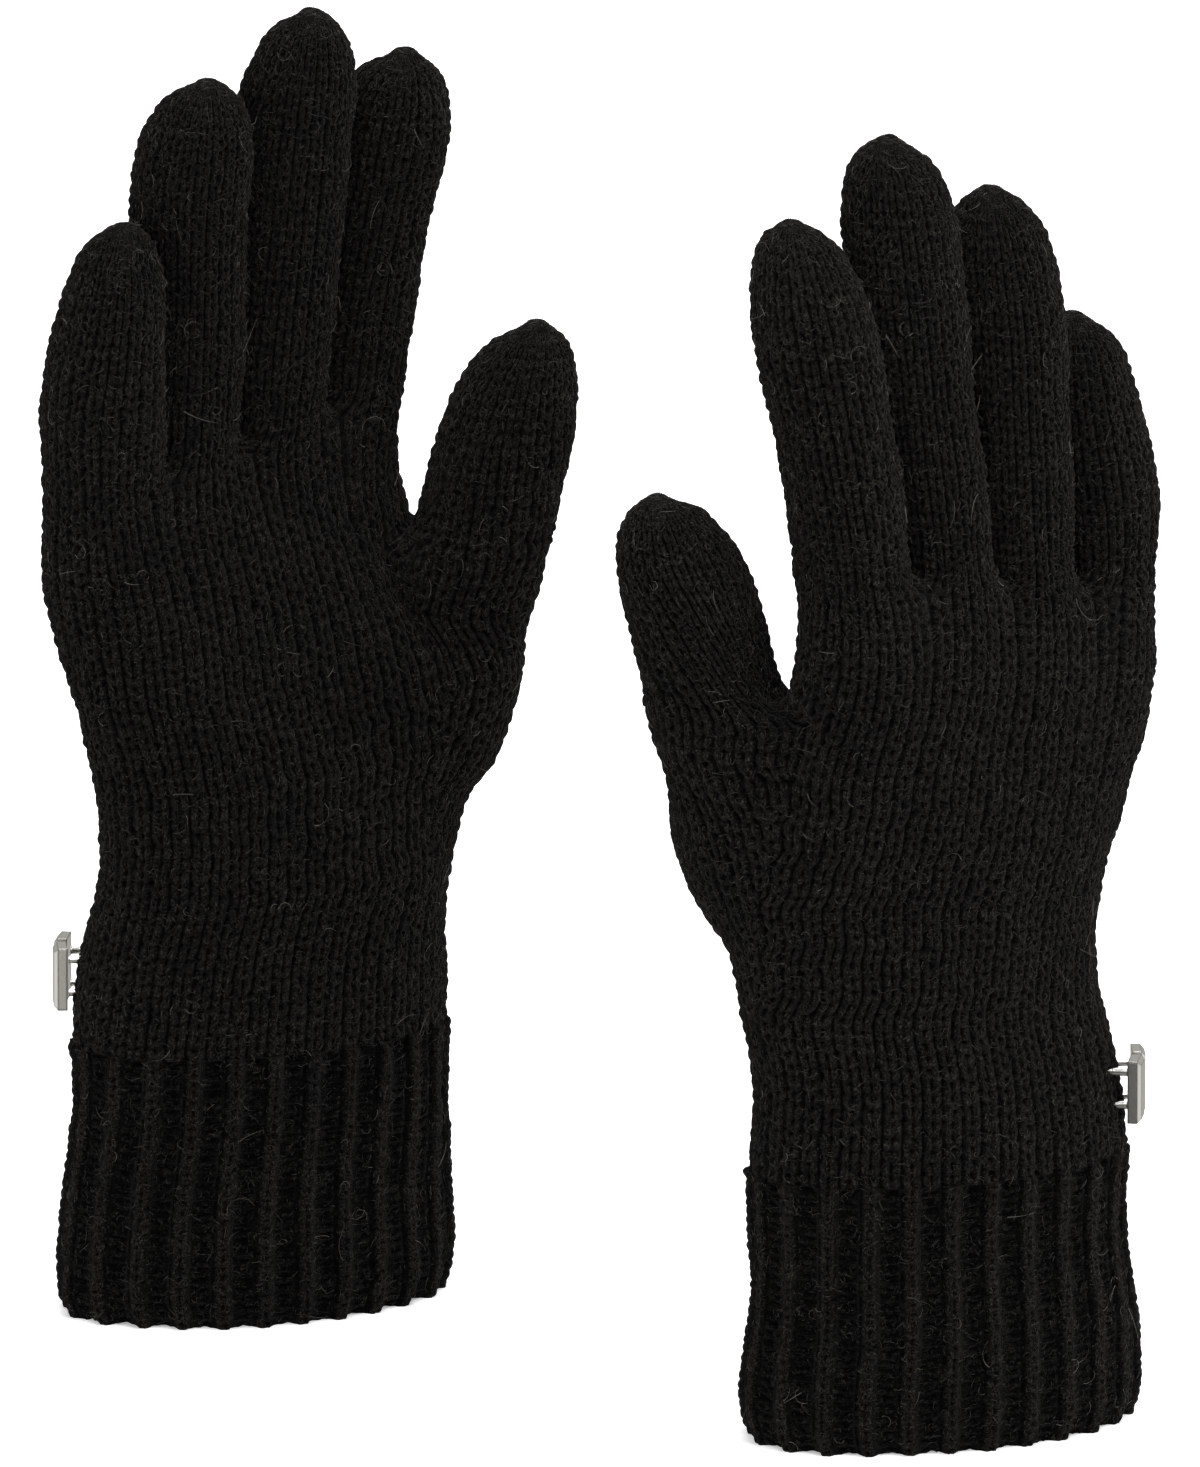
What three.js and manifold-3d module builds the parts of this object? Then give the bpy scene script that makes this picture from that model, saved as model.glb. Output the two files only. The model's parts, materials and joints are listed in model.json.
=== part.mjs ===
// A pair of knitted touchscreen gloves, standing on their cuffs with the fingers up.
// Millimetres, +Z up. The origin is on the ground, midway between the two gloves.
import * as THREE from "three";
import { mergeVertices } from "three/addons/utils/BufferGeometryUtils.js";
import Module from "manifold-3d";

const wasm = await Module();
wasm.setup();

// Driving dimensions
const GLOVE_SPACING = { x: 130, y: 94 }; // between the two wrist axes
const WALL = 2.6; // knitted fabric, slack
const GAP = 0.3; // between neighbouring pieces
const EDGE_HEIGHT = 2.4; // the cast-on edge at the bottom of the cuff
const CUFF_TOP = 54;
const FORK_HEIGHT = 165; // where the four fingers leave the hand
const TOUCH_LENGTH = 22; // conductive yarn at the tips of the thumb and the index finger
const KNOT_RADIUS = 1.9;
const HAND_SIDES = 28;
const FINGER_SIDES = 16;

// Cross-sections of the glove, from the cuff to the forks. x and y are the centre, wide and thick the
// half axes, turn the angle of the wide axis about Z, and square the exponent of the superellipse.
const CUFF = [
  { z: 0, x: -2.7, y: 0, wide: 42, thick: 23.2, turn: 20, square: 2 },
  { z: 20, x: -2.5, y: 0, wide: 41.6, thick: 23, turn: 20, square: 2 },
  { z: 38, x: -1.6, y: 0, wide: 40, thick: 22.6, turn: 22, square: 2 },
  { z: CUFF_TOP, x: -1.1, y: 0, wide: 38.8, thick: 22.4, turn: 23, square: 2 },
];
const HAND = [
  { z: CUFF_TOP, x: -1.1, y: 0, wide: 38.8, thick: 22.4, turn: 23, square: 2 },
  { z: 66, x: -0.9, y: 0.4, wide: 38.6, thick: 22.4, turn: 24, square: 2 },
  { z: 80, x: 0.2, y: 1, wide: 38.3, thick: 22, turn: 26, square: 2 },
  { z: 94, x: 2.7, y: 2, wide: 37.8, thick: 21.4, turn: 28, square: 2 },
  { z: 108, x: 1.1, y: 3, wide: 40.8, thick: 20.6, turn: 30, square: 2.05 },
  { z: 125, x: -1.1, y: 4.5, wide: 43.2, thick: 19.2, turn: 33, square: 2.15 },
  { z: 148, x: -5.8, y: 6, wide: 42.8, thick: 16.8, turn: 36, square: 2.35 },
  { z: FORK_HEIGHT, x: -8.4, y: 7, wide: 41, thick: 14.6, turn: 38, square: 2.6 },
];

// Each finger's centre line and radii, from its root to its tip. The roots are pressed narrow against
// one another: wide is across the hand and thick from the back to the palm.
const FINGERS = {
  little: [
    { z: FORK_HEIGHT, x: -31.4, y: -11, wide: 9.6, thick: 12 },
    { z: 180, x: -32.8, y: -11.8, wide: 10.6, thick: 12 },
    { z: 196, x: -32, y: -12.4, wide: 10.4, thick: 11.6 },
    { z: 207, x: -30.8, y: -12.8, wide: 9.2, thick: 10.4 },
    { z: 213, x: -29.6, y: -12.6, wide: 7, thick: 7.4 },
    { z: 215.5, x: -29, y: -12.5, wide: 3.2, thick: 3.4 },
  ],
  ring: [
    { z: FORK_HEIGHT, x: -17, y: 1.6, wide: 9.2, thick: 12.6 },
    { z: 184, x: -16.6, y: 2.2, wide: 9.7, thick: 12.4 },
    { z: 201, x: -15.6, y: 1.4, wide: 10, thick: 12.2 },
    { z: 220, x: -14.6, y: -1.4, wide: 10.2, thick: 11.8 },
    { z: 234, x: -12.6, y: -4, wide: 9.8, thick: 10.3 },
    { z: 240, x: -11.8, y: -5.4, wide: 6.8, thick: 7.2 },
    { z: 242.4, x: -11.4, y: -5.9, wide: 3.2, thick: 3.4 },
  ],
  middle: [
    { z: FORK_HEIGHT, x: -1.2, y: 12.4, wide: 9.3, thick: 12.8 },
    { z: 186, x: 0, y: 13.4, wide: 10, thick: 12.6 },
    { z: 206, x: 3.4, y: 12.8, wide: 10.3, thick: 12.4 },
    { z: 228, x: 6.2, y: 9, wide: 10.6, thick: 12 },
    { z: 245, x: 8.6, y: 4.6, wide: 9.8, thick: 10.4 },
    { z: 251, x: 9.4, y: 3, wide: 6.8, thick: 7.2 },
    { z: 253.4, x: 9.7, y: 2.4, wide: 3.2, thick: 3.4 },
  ],
  index: [
    { z: FORK_HEIGHT, x: 14.2, y: 24.6, wide: 9.4, thick: 12.8 },
    { z: 184, x: 16.1, y: 26.3, wide: 9.9, thick: 12.8 },
    { z: 201, x: 20, y: 26.3, wide: 10.4, thick: 12.8 },
    { z: 220, x: 23.4, y: 23.2, wide: 11.2, thick: 12.6 },
    { z: 233, x: 25.4, y: 20.2, wide: 10.8, thick: 11.2 },
    { z: 239.6, x: 26.4, y: 18.6, wide: 7.4, thick: 7.8 },
    { z: 242.2, x: 26.8, y: 18, wide: 3.4, thick: 3.6 },
  ],
};
const THUMB = [
  { z: 100, x: 26, y: 12, wide: 12, thick: 12 },
  { z: 118, x: 33.2, y: 14.2, wide: 15, thick: 15 },
  { z: 134, x: 37.4, y: 15.6, wide: 14.6, thick: 14.2 },
  { z: 150, x: 42.2, y: 17, wide: 14.1, thick: 13.4 },
  { z: 162, x: 45.6, y: 18, wide: 13.7, thick: 13 },
  { z: 174, x: 48.8, y: 18.8, wide: 12.6, thick: 12.2 },
  { z: 182, x: 51.6, y: 19.1, wide: 10, thick: 9.8 },
  { z: 186.4, x: 53.2, y: 19.2, wide: 5.6, thick: 5.6 },
  { z: 187.6, x: 53.6, y: 19.2, wide: 2.8, thick: 2.8 },
];
const FINGER_TURN = 38;
const THUMB_SEAM = { x: 29.5, z: 153, lean: -18 }; // a plane square to the thumb, through its crotch

// The metal badge on the little-finger side of the wrist: two plates side by side. "at" says where on
// the wrist, as the direction that the fabric faces there, and "facing" is the plate's own direction.
const BADGE_HEIGHT = 67;
const BADGE_PLATES = [
  { at: 156, facing: 172, clearance: 2.4 },
  { at: 177, facing: 183, clearance: 1.1 },
];
const PLATE = { width: 6, height: 12.4, thickness: 2.7, bevel: 0.8 };
const POST = { radius: 0.8, sides: 10, rise: 3.3 };
const BACK_PLATE = { width: 3.4, height: 10.4, thickness: 0.9, clearance: 2 };
const LABEL = { width: 15, length: 26, thickness: 0.5, top: 44, clearance: 1.8 };

// Construction
const CUTTER = 200; // side of the blocks that trim a piece
const OVERRUN = 1; // by which a hollow runs past the piece that it is cut from
const WRIST_SAMPLES = 180;

const black = { color: 0x1b1a19, roughness: 0.95, metalness: 0 };
const MATERIALS = {
  wool: black,
  touch: { ...black, color: 0x201f1f },
  silver: { color: 0xc8cacd, roughness: 0.14, metalness: 1 },
  label: { color: 0x121212, roughness: 0.6, metalness: 0 },
};

const radians = THREE.MathUtils.degToRad;

function ringPoints(section, sides, inset = 0) {
  const power = 2 / (section.square ?? 2);
  const turn = radians(section.turn ?? FINGER_TURN);
  const axis = new THREE.Vector3(0, 0, 1);
  return Array.from({ length: sides }, (_, k) => {
    const angle = (2 * Math.PI * k) / sides;
    const bulge = (value) => Math.sign(value) * Math.abs(value) ** power;
    const across = (section.wide - inset) * bulge(Math.cos(angle));
    const through = (section.thick - inset) * bulge(Math.sin(angle));
    const centre = new THREE.Vector3(section.x, section.y, section.z);
    return new THREE.Vector3(across, through, 0).applyAxisAngle(axis, turn).add(centre);
  });
}

function middleOf(points) {
  return points.reduce((sum, p) => sum.add(p), new THREE.Vector3()).divideScalar(points.length);
}

// A closed skin over a row of rings. A looped row joins its last ring to its first, and any other row
// is closed by a fan at each end. The rings run so that the faces point out.
function skin(rings, looped = false) {
  const sides = rings[0].length;
  const points = rings.flat();
  const index = [];
  const last = looped ? rings.length : rings.length - 1;
  for (let r = 0; r < last; r += 1) {
    const lower = r * sides;
    const upper = ((r + 1) % rings.length) * sides;
    for (let k = 0; k < sides; k += 1) {
      const next = (k + 1) % sides;
      index.push(lower + k, lower + next, upper + next);
      index.push(lower + k, upper + next, upper + k);
    }
  }
  if (!looped) {
    const top = (rings.length - 1) * sides;
    points.push(middleOf(rings[0]), middleOf(rings.at(-1)));
    for (let k = 0; k < sides; k += 1) {
      const next = (k + 1) % sides;
      index.push(points.length - 2, next, k);
      index.push(points.length - 1, top + k, top + next);
    }
  }
  const geometry = new THREE.BufferGeometry().setFromPoints(points);
  geometry.setIndex(index);
  return geometry;
}

function blendSections(low, high, z) {
  const t = (z - low.z) / (high.z - low.z);
  const mixed = { z };
  for (const key of Object.keys(low).filter((name) => name !== "z")) {
    mixed[key] = THREE.MathUtils.lerp(low[key], high[key], t);
  }
  return mixed;
}

// The stretch of a row of sections from one height to another, with a section at each end.
function stretch(sections, from, to) {
  const at = (z) => {
    const above = sections.findIndex((s) => s.z >= z);
    return above <= 0 ? { ...sections.at(above), z } : blendSections(sections[above - 1], sections[above], z);
  };
  const inside = sections.filter((s) => s.z > from + 1 && s.z < to - 1);
  return [at(from), ...inside, at(to)];
}

function sleeve(sections, sides) {
  const outside = sections.map((s) => ringPoints(s, sides));
  const inside = sections.map((s) => ringPoints(s, sides, WALL)).reverse();
  return skin([...outside, ...inside], true);
}

// A tube that is open below and closed above: its inside skin ends one wall under the tip.
function thimble(sections, sides) {
  const roof = sections.at(-1).z - WALL;
  const hollow = sections.filter((s) => s.z < roof && s.wide > 2 * WALL);
  const inside = hollow.map((s) => ringPoints(s, sides, WALL)).reverse();
  const outside = sections.map((s) => ringPoints(s, sides));
  return skin([...inside, ...outside]);
}

function solidOf(geometry) {
  const bare = geometry.index ? geometry.clone() : mergeVertices(geometry);
  bare.deleteAttribute("normal");
  bare.deleteAttribute("uv");
  const merged = mergeVertices(bare, 1e-4);
  const vertProperties = new Float32Array(merged.attributes.position.array);
  const triVerts = new Uint32Array(merged.index.array);
  return new wasm.Manifold(new wasm.Mesh({ numProp: 3, vertProperties, triVerts }));
}

function geometryOf(solid) {
  const { vertProperties, triVerts } = solid.getMesh();
  const geometry = new THREE.BufferGeometry();
  geometry.setAttribute("position", new THREE.BufferAttribute(new Float32Array(vertProperties), 3));
  geometry.setIndex(new THREE.BufferAttribute(new Uint32Array(triVerts), 1));
  return geometry;
}

function namedMesh(name, geometry, material) {
  const mesh = new THREE.Mesh(geometry, new THREE.MeshStandardMaterial(MATERIALS[material]));
  mesh.name = name;
  return mesh;
}

// Everything on one side of the thumb's seam plane, moved off the plane by an offset along the thumb.
function seamBlock(side, offset) {
  const block = new THREE.BoxGeometry(CUTTER, CUTTER, CUTTER);
  block.translate(0, 0, side * (CUTTER / 2) + offset);
  block.rotateY(radians(-THUMB_SEAM.lean));
  block.translate(THUMB_SEAM.x, 0, THUMB_SEAM.z);
  return solidOf(block);
}

// The point of the fabric's outside, in plan, whose surface faces in a direction.
function wristPoint(direction) {
  const section = stretch(HAND, CUFF_TOP, BADGE_HEIGHT).at(-1);
  const facing = (p) => p.x * Math.cos(radians(direction)) + p.y * Math.sin(radians(direction));
  const ring = ringPoints(section, WRIST_SAMPLES);
  return ring.reduce((best, p) => (facing(p) > facing(best) ? p : best));
}

// Moves a piece of the badge, drawn facing +Z, to a depth outside the fabric and to its height.
function placeOnWrist(geometry, { at, facing }, height, depth) {
  const point = wristPoint(at);
  geometry.translate(0, 0, depth);
  geometry.rotateX(Math.PI / 2);
  geometry.rotateZ(Math.PI / 2 + radians(facing));
  geometry.translate(point.x, point.y, height);
  return geometry;
}

function bevelledPlate({ width, height, thickness, bevel }) {
  const x = width / 2;
  const y = height / 2;
  const outline = (inset, z) => [
    new THREE.Vector3(inset - x, inset - y, z),
    new THREE.Vector3(x - inset, inset - y, z),
    new THREE.Vector3(x - inset, y - inset, z),
    new THREE.Vector3(inset - x, y - inset, z),
  ];
  return skin([outline(0, 0), outline(0, thickness - bevel), outline(bevel, thickness)]);
}

function postGeometry(radius, plate, height, from, to) {
  const post = new THREE.CylinderGeometry(radius, radius, to - from, POST.sides);
  post.rotateX(Math.PI / 2);
  return placeOnWrist(post, plate, height, (from + to) / 2);
}

const postHeights = [BADGE_HEIGHT - POST.rise, BADGE_HEIGHT + POST.rise];

// Each plate of the badge is held by two posts, which pass through the stitches to a plate inside.
function badgeMeshes() {
  const backFace = -WALL - BACK_PLATE.clearance;
  const { width, height, thickness } = BACK_PLATE;
  return BADGE_PLATES.flatMap((place, p) => {
    const plate = placeOnWrist(bevelledPlate(PLATE), place, BADGE_HEIGHT, place.clearance);
    const back = new THREE.BoxGeometry(width, height, thickness);
    placeOnWrist(back, place, BADGE_HEIGHT, backFace - thickness / 2);
    const posts = postHeights.map((postHeight, h) => {
      const post = postGeometry(POST.radius, place, postHeight, backFace + GAP, place.clearance - GAP);
      return namedMesh(`badge_post_${2 * p + h + 1}`, post, "silver");
    });
    return [
      namedMesh(`badge_plate_${p + 1}`, plate, "silver"),
      namedMesh(`badge_back_${p + 1}`, back, "silver"),
      ...posts,
    ];
  });
}

// The hand: a sleeve from the cuff to the forks with the root of the thumb growing out of it, and
// holes where the badge's posts pass through the stitches.
function handMesh() {
  const start = CUFF_TOP + GAP;
  const sections = stretch(HAND, start, FORK_HEIGHT);
  const hollow = sections.map((s) => ringPoints(s, HAND_SIDES, WALL));
  hollow.unshift(ringPoints({ ...sections[0], z: start - OVERRUN }, HAND_SIDES, WALL));
  hollow.push(ringPoints({ ...sections.at(-1), z: FORK_HEIGHT + OVERRUN }, HAND_SIDES, WALL));
  const thumbRoot = THUMB.slice(0, -2);
  const thumbSolid = solidOf(skin(thumbRoot.map((s) => ringPoints(s, FINGER_SIDES))));
  const thumbHollow = solidOf(skin(thumbRoot.map((s) => ringPoints(s, FINGER_SIDES, WALL))));
  let hand = solidOf(skin(sections.map((s) => ringPoints(s, HAND_SIDES))));
  hand = hand.add(thumbSolid.intersect(seamBlock(-1, 0)));
  hand = hand.subtract(solidOf(skin(hollow))).subtract(thumbHollow);
  for (const place of BADGE_PLATES) {
    for (const height of postHeights) {
      const hole = postGeometry(POST.radius + GAP, place, height, -2 * WALL, WALL);
      hand = hand.subtract(solidOf(hole));
    }
  }
  return namedMesh("hand_shell", geometryOf(hand), "wool");
}

function thumbMeshes() {
  const tube = THUMB.slice(1, -2);
  const seam = seamBlock(1, GAP);
  const touchStart = THUMB.at(-1).z - TOUCH_LENGTH;
  const outside = solidOf(skin(tube.map((s) => ringPoints(s, FINGER_SIDES))));
  const inside = solidOf(skin(tube.map((s) => ringPoints(s, FINGER_SIDES, WALL))));
  const lower = new THREE.BoxGeometry(CUTTER, CUTTER, touchStart);
  lower.translate(0, 0, touchStart / 2);
  const clearOfHand = HAND.map((s) => ringPoints({ ...s, wide: s.wide + GAP, thick: s.thick + GAP }, HAND_SIDES));
  const hand = solidOf(skin(clearOfHand));
  const root = outside.intersect(seam).intersect(solidOf(lower)).subtract(inside).subtract(hand);
  const tip = stretch(THUMB, touchStart + GAP, THUMB.at(-1).z);
  return [
    namedMesh("thumb", geometryOf(root), "wool"),
    namedMesh("thumb_touch_tip", thimble(tip, FINGER_SIDES), "touch"),
    knotMesh("thumb", THUMB),
  ];
}

// The yarn end that draws the last stitches of a finger together.
function knotMesh(name, sections) {
  const tip = sections.at(-1);
  const knot = new THREE.SphereGeometry(KNOT_RADIUS, 10, 6);
  knot.rotateX(Math.PI / 2);
  knot.translate(tip.x, tip.y, tip.z + GAP + KNOT_RADIUS);
  return namedMesh(`${name}_tip_knot`, mergeVertices(solidGeometry(knot)), "wool");
}

function solidGeometry(geometry) {
  return geometryOf(solidOf(geometry));
}

function fingerMeshes(name, sections) {
  const start = FORK_HEIGHT + GAP;
  const top = sections.at(-1).z;
  const knot = knotMesh(name, sections);
  if (name !== "index") {
    return [namedMesh(`${name}_finger`, thimble(stretch(sections, start, top), FINGER_SIDES), "wool"), knot];
  }
  const touchStart = top - TOUCH_LENGTH;
  const tube = sleeve(stretch(sections, start, touchStart), FINGER_SIDES);
  const tip = thimble(stretch(sections, touchStart + GAP, top), FINGER_SIDES);
  return [namedMesh("index_finger", tube, "wool"), namedMesh("index_touch_tip", tip, "touch"), knot];
}

// A blank fabric label, sewn flat to the inside of the cuff on the palm side.
function labelMesh() {
  const middle = LABEL.top - LABEL.length / 2;
  const section = stretch(CUFF, 0, middle).at(-1);
  const label = new THREE.BoxGeometry(LABEL.width, LABEL.thickness, LABEL.length);
  label.translate(0, -(section.thick - WALL - LABEL.thickness / 2 - LABEL.clearance), 0);
  label.rotateZ(radians(section.turn));
  label.translate(section.x, section.y, middle);
  return namedMesh("care_label", label, "label");
}

function gloveMeshes() {
  const edge = sleeve(stretch(CUFF, 0, EDGE_HEIGHT), HAND_SIDES);
  const rib = sleeve(stretch(CUFF, EDGE_HEIGHT + GAP, CUFF_TOP), HAND_SIDES);
  const fingers = Object.entries(FINGERS).flatMap(([name, sections]) => fingerMeshes(name, sections));
  return [
    namedMesh("cuff_edge", edge, "wool"),
    namedMesh("cuff_rib", rib, "wool"),
    handMesh(),
    ...thumbMeshes(),
    ...fingers,
    ...badgeMeshes(),
    labelMesh(),
  ];
}

// Both gloves show the same hand, turned half a revolution: one shows its palm and one its back.
function glove(label, turn) {
  const group = new THREE.Group();
  const meshes = gloveMeshes();
  for (const mesh of meshes) {
    mesh.name = `${label}_${mesh.name}`;
    mesh.position.set(-GLOVE_SPACING.x / 2, GLOVE_SPACING.y / 2, 0);
  }
  group.add(...meshes);
  group.rotation.z = turn;
  return group;
}

const pair = new THREE.Group();
pair.add(glove("glove_a", 0), glove("glove_b", Math.PI));

export default pair;
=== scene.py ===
"""Knitted touchscreen gloves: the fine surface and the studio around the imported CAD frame.

Each glove is one net of stitches. Every quad of the net is one stitch. Its wales run unbroken
from the cuff to the fingertips, and it splits at the thumb and at the three forks as a knitted
glove does. The net settles like tensioned cloth, and is subdivided and raised into stitches.
"""
import json
import math

import bmesh
import bpy
import numpy as np
from mathutils import Matrix, Vector

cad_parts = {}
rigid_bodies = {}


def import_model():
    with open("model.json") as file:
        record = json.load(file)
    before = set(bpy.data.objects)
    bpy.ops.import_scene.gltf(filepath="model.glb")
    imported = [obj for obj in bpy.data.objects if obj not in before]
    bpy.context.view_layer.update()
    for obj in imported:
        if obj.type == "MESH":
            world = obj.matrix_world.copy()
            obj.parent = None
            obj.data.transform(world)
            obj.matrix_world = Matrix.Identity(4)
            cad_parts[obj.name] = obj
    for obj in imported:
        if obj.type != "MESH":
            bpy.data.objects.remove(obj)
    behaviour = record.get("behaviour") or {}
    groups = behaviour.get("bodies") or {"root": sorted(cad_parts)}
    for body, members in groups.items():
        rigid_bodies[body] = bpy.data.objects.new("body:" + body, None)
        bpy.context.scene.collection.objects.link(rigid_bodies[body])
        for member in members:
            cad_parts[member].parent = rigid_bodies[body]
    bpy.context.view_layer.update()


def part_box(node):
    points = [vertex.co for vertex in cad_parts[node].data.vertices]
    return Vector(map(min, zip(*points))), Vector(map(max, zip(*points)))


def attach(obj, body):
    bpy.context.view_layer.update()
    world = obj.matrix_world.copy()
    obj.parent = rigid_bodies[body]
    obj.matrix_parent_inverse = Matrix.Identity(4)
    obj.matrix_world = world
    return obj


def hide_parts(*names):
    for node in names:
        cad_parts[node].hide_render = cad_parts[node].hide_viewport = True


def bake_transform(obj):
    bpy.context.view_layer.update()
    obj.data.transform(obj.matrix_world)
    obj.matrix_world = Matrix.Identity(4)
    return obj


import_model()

MM = 0.001
PIECES = ["cuff", "hand", "thumb", "index", "middle", "ring", "little"]

# The knit, in stitches
WALES = 48
CUFF_COURSES = 29
HAND_COURSES = 44
THUMB_COURSE = 34  # of the hand, where the thumb's wales leave it
THUMB_WALES = (19, 25)
GUSSET_COURSES = (14, 18, 22, 25, 28, 31)  # each has a new wale on both sides of the thumb
FORK_WALES = (7, 12, 17)  # where the palm splits between two fingers, and so does the back
FOURCHETTE = 7  # extra wales between two fingers
PALM_COURSES = 8  # over which the palm takes the shape of the fingers' roots
KNUCKLE_COURSES = 17  # the same on the back, where the knuckles and tendons show
TIP_COURSE = 99  # stands for the last stitches of a finger, which are drawn together
SUBDIVISIONS = 3

# How firmly the net's corners keep their place while it settles, from 0 to 1
ROW_PULL = 0.3
CREASE_PULL = 0.5  # more of it, at the corners of the thumb's opening
CREASE_PULL_WALES = 1.3
THUMB_ROOT_PULL = 0.15
FINGER_ROOT_PULL = 0.2
FOURCHETTE_PULL = 0.02
SETTLING_ROUNDS = 160
SETTLING_STEP = 0.5

# The knit, in millimetres
COURSE = 2.45  # usual height of one on a finger
WALL = 2.3  # from the middle of the stitches to the lining
LEG_RELIEF = 1.15
STITCH = (3.95, 2.55)  # the usual width and height of one
LEG_START = (0.12, -0.14)  # of a stitch, from the middle of its lower edge
LEG_REACH = (0.9, 3.15)  # sideways and up, from a leg's start to its end
LEG_RADIUS = 0.86
RIDGE_WIDTH = 0.74  # of a wale, where the rib stands out
RIB_RELIEF = 1.9
FULL_RELIEF_CELL = 0.26  # smaller faces take less relief, so that it doesn't fold over

# The shape that the net is drawn over, in millimetres from the middle of the cuff's opening.
# Each outline lists height, centre x and y, half width, half thickness, turn and squareness.
CUFF_OUTLINES = [
    (0, -1.6, -1.2, 38, 20.6, 20, 2),
    (2.5, -1.6, -1.2, 39.6, 21.8, 20, 2),
    (7, -1.6, -1, 40.2, 22.5, 20, 2),
    (12, -1.6, -1, 40, 22.6, 20, 2),
    (24, -1.7, -0.4, 38.8, 22.6, 20.5, 2),
    (40, -0.8, 0, 37.9, 22.4, 21.7, 2),
    (54, -0.5, 0, 38.2, 22.2, 23, 2),
]
HAND_OUTLINES = [
    (54, -0.4, 0, 38.3, 22.2, 23, 2),
    (64, -0.1, 0.3, 37.9, 22.1, 24, 2),
    (74, 0.4, 0.7, 37.2, 21.9, 25, 2),
    (88, 3.1, 1.6, 37.8, 21.5, 27, 2),
    (104, 3.8, 2.8, 40.2, 20.6, 29.4, 2.05),
    (120, 1, 3.8, 42.6, 19.3, 32.2, 2.15),
    (136, -3, 4.8, 43, 17.9, 34.6, 2.25),
    (148, -6, 5.6, 42, 16.7, 36, 2.35),
    (158, -7.8, 6.1, 41.1, 15.6, 37, 2.45),
    (170, -9.3, 6.7, 41.8, 14.4, 38, 2.6),
]
THUMB_OUTLINES = [
    (92, 23, 8, 10, 10, 14, 2),
    (103, 30, 11, 13.6, 12.8, 14, 2),
    (117, 34.8, 12.8, 15.1, 14.2, 14, 2),
    (131, 37.6, 13, 15.3, 13.4, 14, 2),
    (143, 40.6, 13.2, 14.6, 12.7, 14, 2),
    (154, 43.4, 14.2, 14.3, 12.5, 14, 2),
    (166, 46, 16.2, 14.2, 12.6, 14, 2),
    (174.6, 48.2, 17.6, 13.4, 12.2, 14, 2),
    (181.4, 50.2, 18.6, 11.4, 10.6, 14, 2),
    (186.2, 51.8, 19.1, 8.4, 8, 14, 2),
    (188.8, 52.8, 19.2, 5.4, 5.4, 14, 2),
    (189.8, 53.2, 19.3, 2.4, 2.4, 14, 2),
]
FINGER_OUTLINES = {
    "little": [
        (164, -31.7, -11.4, 10.4, 12.8, 38, 2.4),
        (180, -31.6, -12.2, 10.9, 12.6, 38, 2.3),
        (198, -29.4, -12.8, 10.8, 12, 38, 2.1),
        (208, -28.2, -13, 9.9, 10.9, 38, 2),
        (213.6, -27.8, -13, 8, 8.6, 38, 2),
        (216.8, -27.3, -12.9, 5.5, 5.7, 38, 2),
        (218, -26.9, -12.8, 2.4, 2.4, 38, 2),
    ],
    "ring": [
        (167, -16.3, 1.6, 9.3, 13, 38, 2.4),
        (184, -15.4, 2, 9.9, 12.8, 38, 2.3),
        (203, -14.7, 1.2, 10.5, 12.6, 38, 2.1),
        (222, -14, -1.6, 10.9, 12.2, 38, 2),
        (234, -12.7, -3.8, 10.5, 11.3, 38, 2),
        (240.2, -11.9, -5, 8.4, 9, 38, 2),
        (243.4, -11.3, -5.7, 5.6, 5.8, 38, 2),
        (244.8, -10.8, -6, 2.4, 2.4, 38, 2),
    ],
    "middle": [
        (171, -0.2, 12.5, 9.6, 13.2, 38, 2.4),
        (187, 1.2, 13.3, 10, 13, 38, 2.3),
        (208, 3.4, 12.6, 10.6, 12.8, 38, 2.1),
        (230, 5.6, 9, 11.2, 12.4, 38, 2),
        (246, 7.5, 4.8, 10.5, 11.2, 38, 2),
        (252.2, 8.4, 3.2, 8.5, 9.1, 38, 2),
        (255.6, 9, 2.4, 5.8, 6, 38, 2),
        (257, 9.6, 2, 2.6, 2.6, 38, 2),
    ],
    "index": [
        (174, 15.6, 25.1, 10, 13, 38, 2.4),
        (188, 17, 26.3, 10.3, 13, 38, 2.3),
        (204, 19.5, 26, 10.8, 13, 38, 2.1),
        (221, 22.6, 23.4, 11.3, 12.8, 38, 2),
        (234, 25, 20.6, 10.7, 11.7, 38, 2),
        (240.4, 26.2, 19, 8.8, 9.4, 38, 2),
        (243.8, 27.1, 18.2, 6, 6.2, 38, 2),
        (245.2, 27.7, 17.8, 2.6, 2.6, 38, 2),
    ],
}
FORK_HEIGHTS = (164, 176)  # on the little-finger side and on the index side
CUFF_OFFSET = 2.7  # from the middle of the CAD's cuff to the wrist's axis
TOUCH_LENGTH = 22  # conductive yarn at the tips of the thumb and the index finger
WEB_RISE = 1  # of the thumb's web above the corners of the thumb's opening
BADGE_PLACE = np.array([-36.5, -5, 67])
BADGE_SPREAD = np.array([11, 13, 13])
BADGE_RISE = 1.3  # how far the badge's pins draw the fabric out
TIP_RISE = 1.6  # how far the drawn-together end of a finger stands out
TIP_SPREAD = 3.2
TIP_LIFT = 0.6  # of the point where the last stitches meet, above the last row
KNOT_DEPTH = 0.7  # of a knot's middle, below the last row
SETTLING = 14  # length over which a finger's courses come level
THUMB_SETTLING = 30  # length over which the thumb's wales become evenly spaced
THUMB_START = math.radians(-171)  # direction of the thumb's first wale, from its axis
THUMB_CREASE = (122, 144)  # heights where the crease beside the thumb starts and where it is full
CREASE_DEPTH = 2.5
CREASE_AIM = 0.4  # the crease sinks towards a point this far from the hand's middle to the thumb's
LEVEL_STEP = 2.0  # between the level rows that slanting rows are read from

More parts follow.
